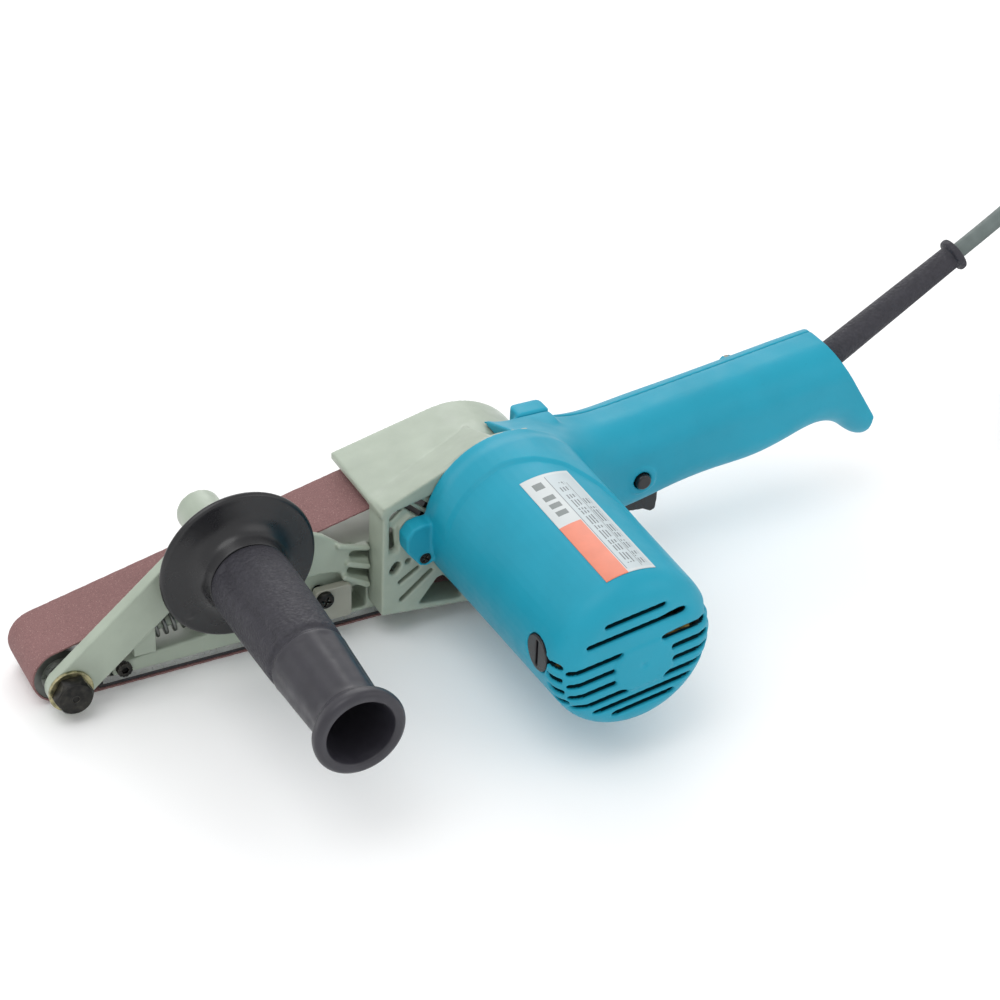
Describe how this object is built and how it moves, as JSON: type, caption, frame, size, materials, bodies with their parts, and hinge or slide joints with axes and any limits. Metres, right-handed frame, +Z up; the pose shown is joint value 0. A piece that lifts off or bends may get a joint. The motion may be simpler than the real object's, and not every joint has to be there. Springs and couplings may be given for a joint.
{
  "type": "handheld belt sander",
  "caption": "Narrow-belt hand sander: cross-mounted motor, closed rear handle, round side grip, sprung nose roller and a put-away supply cord.",
  "frame": {"origin": "middle of the flat sanding face, on the belt's outer surface", "axes": "+X back along the belt towards the handle, -Y towards the motor and the side grip, +Z up out of the sanding face"},
  "size_m": [0.5734, 0.1778, 0.1249],
  "materials": {
    "abrasive_belt": "brown-red abrasive grain on cloth",
    "cast_green": "satin grey-green paint over cast aluminium",
    "bright_steel": "ground steel",
    "dark_steel": "black-oxide steel",
    "pad_graphite": "graphite cloth",
    "hub_alloy": "turned alloy",
    "tyre_rubber": "moulded rubber",
    "grip_rubber": "black rubber, fine stipple",
    "black_plastic": "black moulded plastic",
    "lamination": "stacked silicon steel",
    "winding_copper": "lacquered copper wire",
    "commutator_copper": "bare copper bars",
    "brass": "drawn brass",
    "carbon": "pressed carbon",
    "teal_plastic": "teal-blue moulded plastic, satin",
    "label_film": null,
    "cord_sheath": "grey rubber sheath"
  },
  "bodies": {
    "root": {"sanding_belt": "abrasive_belt", "tension_spring": "bright_steel", "frame_arm": "cast_green", "frame_screws": "dark_steel", "shoe_plate": "bright_steel", "platen_pad": "pad_graphite", "shoe_screws": "dark_steel", "shoe_bracket": "hub_alloy", "bracket_screw": "dark_steel", "spindle_bearings": "bright_steel", "gear_housing": "cast_green", "bearing_plate": "cast_green", "armature_bearings": "bright_steel", "stator_core": "lamination", "field_coils": "winding_copper", "baffle_ring": "black_plastic", "brush_holders": "brass", "carbon_brushes": "carbon", "brush_springs": "brass", "brush_caps": "black_plastic", "motor_housing": "teal_plastic", "ear_screws": "dark_steel", "rating_label": "label_film", "handle_cover": "teal_plastic", "handle_screws": "dark_steel", "switch_body": "black_plastic", "grip_flange": "black_plastic", "side_grip": "grip_rubber", "grip_stud": "bright_steel", "cord_guard": "grip_rubber", "cord_tube": "cord_sheath", "cord_coil": "cord_sheath", "cord_tie": "black_plastic", "plug_body": "cord_sheath", "plug_blades": "brass"},
    "tension_slide": {"tension_arm": "cast_green", "axle_bolt": "dark_steel", "axle_washer": "bright_steel", "axle_spacer": "bright_steel"},
    "idler": {"idler_roller": "bright_steel", "idler_bearings": "bright_steel"},
    "drive": {"drive_pulley": "hub_alloy", "pulley_tyre": "tyre_rubber", "pulley_washer": "bright_steel", "pulley_screw": "dark_steel", "spindle": "bright_steel", "drive_gear": "bright_steel"},
    "armature": {"armature_shaft": "bright_steel", "armature_core": "lamination", "armature_winding": "winding_copper", "commutator": "commutator_copper", "fan": "black_plastic"},
    "trigger_body": {"trigger": "black_plastic"},
    "lock_body": {"lock_button": "black_plastic"},
    "tracking": {"tracking_screw": "dark_steel"}
  },
  "joints": [
    {"name": "tension_slide", "type": "slide", "parent": "root", "child": "tension_slide", "axis": [0.9934, 0, 0.1149], "range_m": [0, 0.008], "stiffness_N_per_m": 2500, "springref_m": -0.012, "deforming": ["tension_spring"]},
    {"name": "idler_spin", "type": "hinge", "parent": "tension_slide", "child": "idler", "pos_m": [-0.08, 0, 0.0119], "axis": [0, 1, 0], "continuous": true},
    {"name": "drive_spin", "type": "hinge", "parent": "root", "child": "drive", "pos_m": [0.098, 0, 0.035], "axis": [0, 1, 0], "continuous": true},
    {"name": "armature_spin", "type": "hinge", "parent": "root", "child": "armature", "pos_m": [0.0995, -0.08, 0.04992], "axis": [0, 1, 0], "continuous": true},
    {"name": "trigger_squeeze", "type": "hinge", "parent": "root", "child": "trigger_body", "pos_m": [0.163, -0.01, 0.0306], "axis": [0, -1, 0], "range_deg": [0, 12], "stiffness_Nm_per_rad": 0.1, "springref_deg": -17.19},
    {"name": "lock_push", "type": "slide", "parent": "root", "child": "lock_body", "axis": [0, 1, 0], "range_m": [0, 0.002], "stiffness_N_per_m": 300, "springref_m": -0.002},
    {"name": "tracking_turn", "type": "hinge", "parent": "root", "child": "tracking", "pos_m": [-0.056, -0.012, 0.009], "axis": [0, 1, 0], "range_deg": [-180, 180]}
  ],
  "couplings": [
    {"joint": "armature_spin", "follows": "drive_spin", "ratio": -4},
    {"joint": "idler_spin", "follows": "drive_spin", "ratio": 2.5739}
  ]
}
